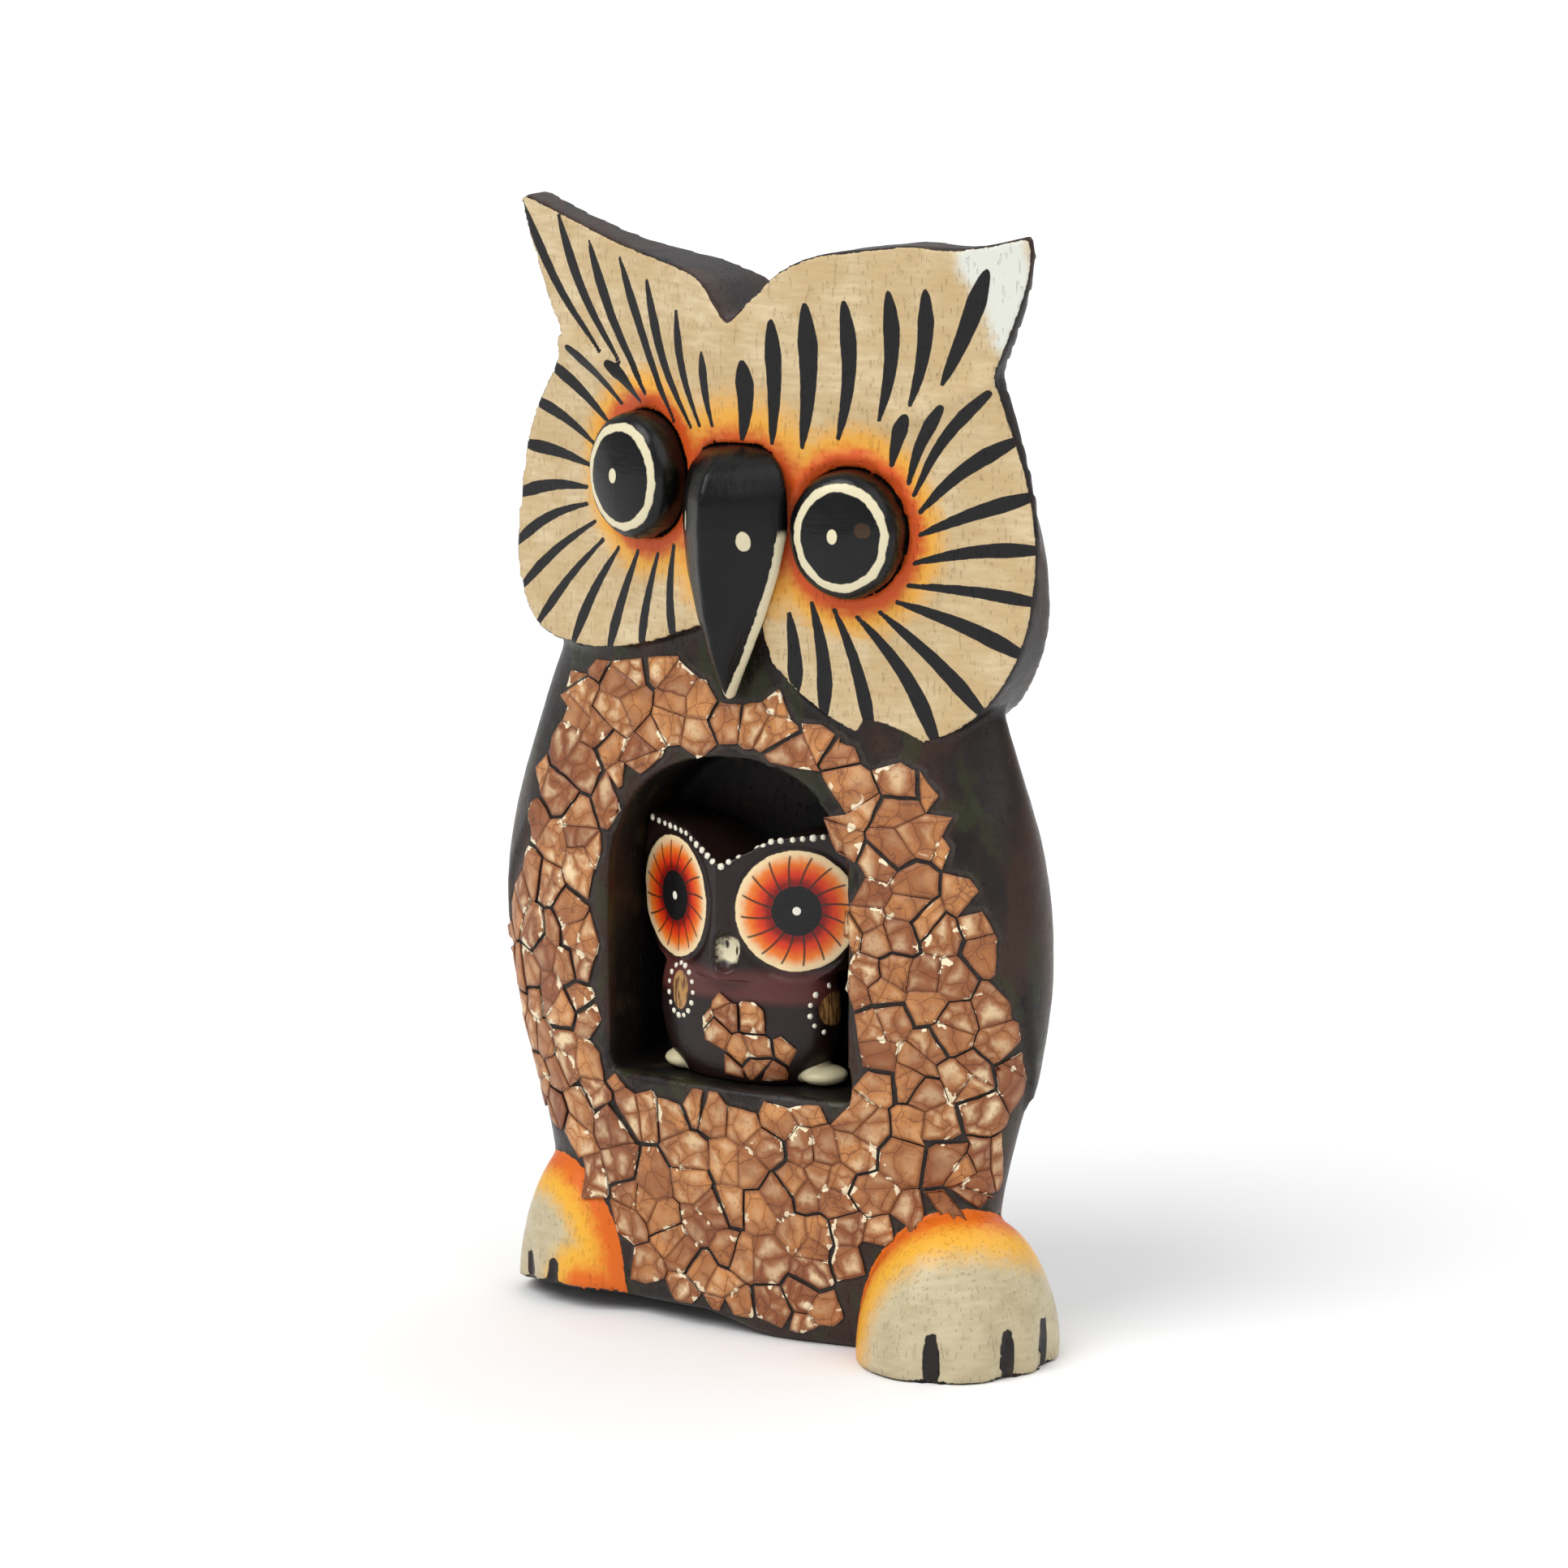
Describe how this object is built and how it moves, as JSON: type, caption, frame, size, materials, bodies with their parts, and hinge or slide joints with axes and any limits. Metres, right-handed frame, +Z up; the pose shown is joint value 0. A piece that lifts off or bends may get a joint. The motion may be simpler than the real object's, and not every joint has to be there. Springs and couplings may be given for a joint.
{
  "type": "carved owl ornament",
  "caption": "Hand-carved painted wooden owl with a mask-like eared face, eggshell mosaic belly and a small carved owl standing in an arched niche in its front.",
  "frame": {"origin": "middle of the footprint, on the surface that the owl stands on", "axes": "+Z up, -Y the way the owl looks, +X to the right of someone who looks at its face"},
  "size_m": [0.1146, 0.0509, 0.2014],
  "materials": {
    "painted_wood": "hand-painted, satin, worn at the edges",
    "black_lacquer": "glossy black paint on wood",
    "dark_painted_wood": "dark brown paint, satin",
    "eggshell": "stained and varnished eggshell"
  },
  "bodies": {
    "root": {"owl_body": "painted_wood", "left_eye": "black_lacquer", "right_eye": "black_lacquer", "beak": "black_lacquer", "baby_owl": "dark_painted_wood", "baby_shell": "eggshell", "shell_throat": "eggshell", "shell_left_breast": "eggshell", "shell_right_breast": "eggshell", "shell_left_flank": "eggshell", "shell_right_flank": "eggshell", "shell_left_of_niche": "eggshell", "shell_right_of_niche": "eggshell", "shell_left_hip": "eggshell", "shell_right_hip": "eggshell", "shell_under_niche": "eggshell", "shell_belly": "eggshell", "shell_base": "eggshell"}
  },
  "joints": []
}
